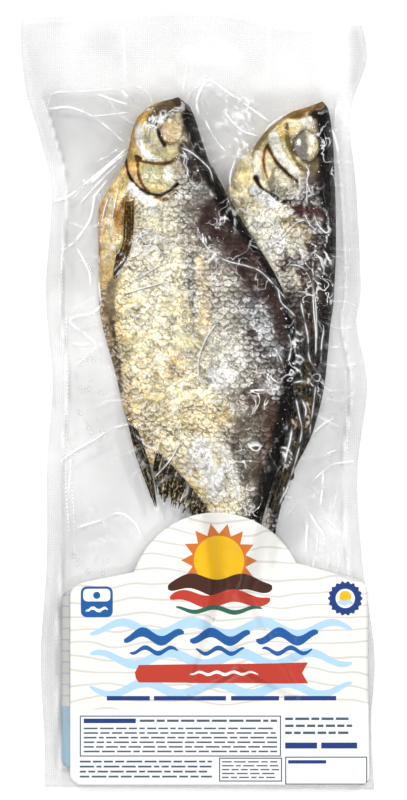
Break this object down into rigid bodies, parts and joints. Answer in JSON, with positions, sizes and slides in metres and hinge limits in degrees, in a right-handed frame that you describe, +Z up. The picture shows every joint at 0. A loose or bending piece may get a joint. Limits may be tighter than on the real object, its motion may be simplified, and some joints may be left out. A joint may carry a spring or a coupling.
{
  "type": "vacuum pack of dried fish",
  "caption": "Clear vacuum pouch of whole dried salted fish, with a hang slot at the head end and a sticker on each face.",
  "frame": {"origin": "middle of the pack's bounding box, on the surface that the pack lies on", "axes": "+Y along the pack towards the hang slot, +Z up out of the shown face, +X to the right of the shown face"},
  "size_m": [0.1591, 0.3508, 0.0317],
  "materials": {
    "clear_film": "clear glossy wrinkled film, seen over silver and brown dried fish",
    "front_sticker": "smooth satin white",
    "back_sticker": "smooth satin white",
    "dried_fish": "silver, gold and dark brown dried skin with small scales",
    "fish_fin": "dark brown, rayed",
    "fish_eye": "dull dried eye"
  },
  "bodies": {
    "root": {"pouch": "clear_film", "front_label": "front_sticker", "back_label": "back_sticker"}
  },
  "joints": []
}
